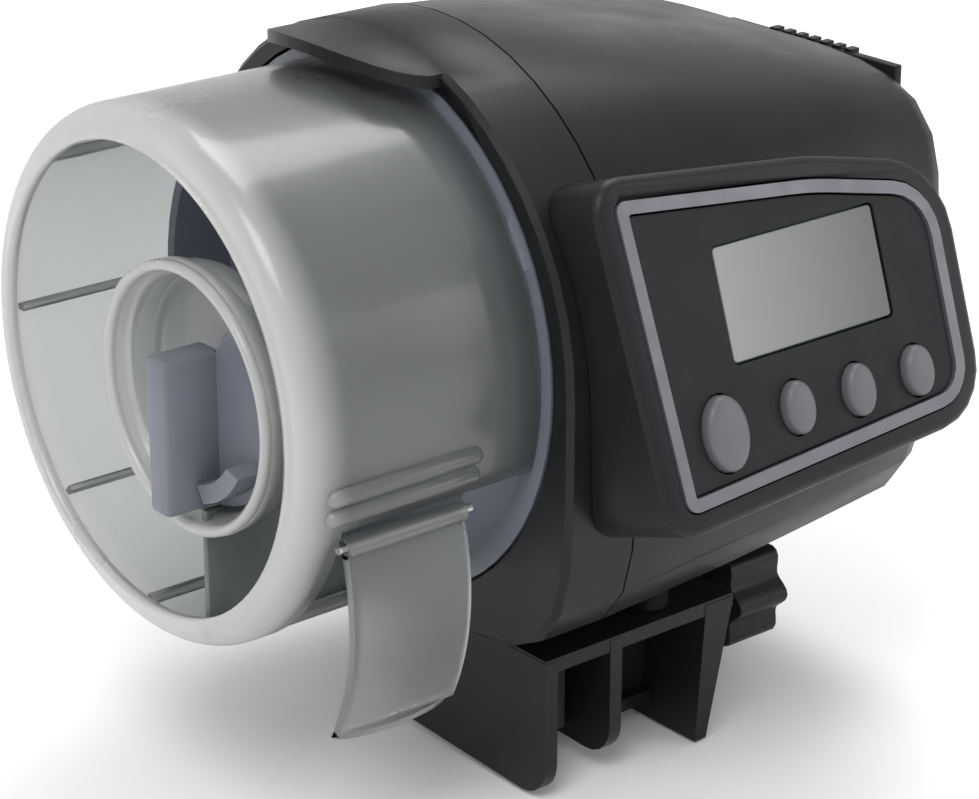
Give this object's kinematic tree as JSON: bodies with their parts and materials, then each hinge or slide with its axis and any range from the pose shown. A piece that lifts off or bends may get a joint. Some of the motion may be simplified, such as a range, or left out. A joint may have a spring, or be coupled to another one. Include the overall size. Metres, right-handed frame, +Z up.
{
  "type": "automatic fish feeder",
  "caption": "Battery fish feeder: a clear food drum with a hinged outlet door turns on a geared motor housing with a tilted control panel and a screw clamp for the tank rim.",
  "frame": {"origin": "middle of the roof of the clamp's slot, where the feeder sits on the tank's rim", "axes": "+X along the drum axis from the drum towards the housing, -Y towards the control panel side, +Z up"},
  "size_m": [0.1194, 0.1025, 0.1064],
  "materials": {
    "black_plastic": "satin black moulded plastic",
    "clear_plastic": "clear, slightly smoky moulded plastic",
    "lavender_plastic": "satin lavender-grey plastic",
    "silver_trim": "satin silver-lavender paint on plastic",
    "panel_overlay": "matt near-black film",
    "screen_glass": "grey display window",
    "circuit_board": "green board",
    "steel": "plain steel",
    "white_acetal": "natural white acetal",
    "cell_wrap": "plain wrapped cell",
    "rubber": "matt rubber"
  },
  "bodies": {
    "housing": {"drum_side_shell": "black_plastic", "main_shell": "black_plastic", "gearbox_screw_1": "steel", "gearbox_screw_2": "steel", "gearbox_screw_3": "steel", "housing_screw_1": "steel", "housing_screw_2": "steel", "housing_screw_3": "steel", "clamp_base_screw_1": "steel", "clamp_base_screw_2": "steel", "battery_tray": "black_plastic", "cell_1": "cell_wrap", "cell_2": "cell_wrap", "contact_spring": "steel", "contact_plate": "steel", "contact_bridge": "steel", "gear_axle_1": "steel", "gear_axle_2": "steel", "motor": "steel", "gearbox_plate": "black_plastic", "panel_bezel": "black_plastic", "panel_trim": "silver_trim", "panel_plate": "panel_overlay", "screen_lens": "screen_glass", "screen_module": "circuit_board", "circuit_board": "circuit_board", "feed_switch": "black_plastic", "mode_switch": "black_plastic", "adjust_switch": "black_plastic", "set_switch": "black_plastic", "rim_clamp": "black_plastic"},
    "output": {"output_gear": "white_acetal", "output_shaft": "white_acetal"},
    "wheel_1": {"reduction_gear_1": "white_acetal"},
    "wheel_2": {"reduction_gear_2": "white_acetal"},
    "rotor": {"motor_pinion": "white_acetal", "motor_shaft": "steel"},
    "lid": {"rear_lid": "lavender_plastic"},
    "drum": {"food_drum": "clear_plastic", "door_pin": "steel"},
    "door": {"drum_door": "clear_plastic"},
    "dial": {"portion_dial": "lavender_plastic", "dial_clip": "steel"},
    "feed": {"feed_button": "lavender_plastic"},
    "mode": {"mode_button": "lavender_plastic"},
    "adjust": {"adjust_button": "lavender_plastic"},
    "set": {"set_button": "lavender_plastic"},
    "battery_cover": {"battery_door": "black_plastic"},
    "pad": {"clamp_pad": "rubber"},
    "knob": {"clamp_screw": "steel", "clamp_knob": "black_plastic"}
  },
  "joints": [
    {"name": "drum_turn", "type": "hinge", "parent": "housing", "child": "output", "pos_m": [-0.0107, 0.015, 0.044], "axis": [1, 0, 0], "continuous": true},
    {"name": "wheel_1_turn", "type": "hinge", "parent": "housing", "child": "wheel_1", "pos_m": [-0.0037, 0.02281, 0.03469], "axis": [1, 0, 0], "continuous": true},
    {"name": "wheel_2_turn", "type": "hinge", "parent": "housing", "child": "wheel_2", "pos_m": [-0.0007, 0.01865, 0.02328], "axis": [1, 0, 0], "continuous": true},
    {"name": "motor_turn", "type": "hinge", "parent": "housing", "child": "rotor", "pos_m": [0.0013, 0.03062, 0.02116], "axis": [1, 0, 0], "continuous": true},
    {"name": "lid_pull", "type": "slide", "parent": "output", "child": "lid", "axis": [-1, 0, 0], "range_m": [0, 0.015]},
    {"name": "drum_off_lid", "type": "slide", "parent": "lid", "child": "drum", "axis": [-1, 0, 0], "range_m": [0, 0.012]},
    {"name": "door_swing", "type": "hinge", "parent": "drum", "child": "door", "pos_m": [-0.0327, -0.02054, 0.03], "axis": [-1, 0, 0], "range_deg": [-38, 32]},
    {"name": "dial_turn", "type": "hinge", "parent": "drum", "child": "dial", "pos_m": [-0.0457, 0.005, 0.0445], "axis": [1, 0, 0], "range_deg": [0, 90]},
    {"name": "feed_press", "type": "slide", "parent": "housing", "child": "feed", "axis": [0, 0.9455, -0.3256], "range_m": [0, 0.0008], "stiffness_N_per_m": 400},
    {"name": "mode_press", "type": "slide", "parent": "housing", "child": "mode", "axis": [0, 0.9455, -0.3256], "range_m": [0, 0.0008], "stiffness_N_per_m": 400},
    {"name": "adjust_press", "type": "slide", "parent": "housing", "child": "adjust", "axis": [0, 0.9455, -0.3256], "range_m": [0, 0.0008], "stiffness_N_per_m": 400},
    {"name": "set_press", "type": "slide", "parent": "housing", "child": "set", "axis": [0, 0.9455, -0.3256], "range_m": [0, 0.0008], "stiffness_N_per_m": 400},
    {"name": "battery_cover_slide", "type": "slide", "parent": "housing", "child": "battery_cover", "axis": [0, 0, 1], "range_m": [0, 0.012]},
    {"name": "pad_slide", "type": "slide", "parent": "housing", "child": "pad", "axis": [1, 0, 0], "range_m": [-0.005, 0.0005]},
    {"name": "knob_turn", "type": "hinge", "parent": "pad", "child": "knob", "pos_m": [0.0193, -0.002, -0.007], "axis": [1, 0, 0], "range_deg": [-1205, 125]}
  ],
  "couplings": [
    {"joint": "wheel_1_turn", "follows": "drum_turn", "ratio": -3},
    {"joint": "wheel_2_turn", "follows": "drum_turn", "ratio": 9},
    {"joint": "motor_turn", "follows": "drum_turn", "ratio": -27},
    {"joint": "knob_turn", "follows": "pad_slide", "rad_per_m": 4188.8}
  ]
}
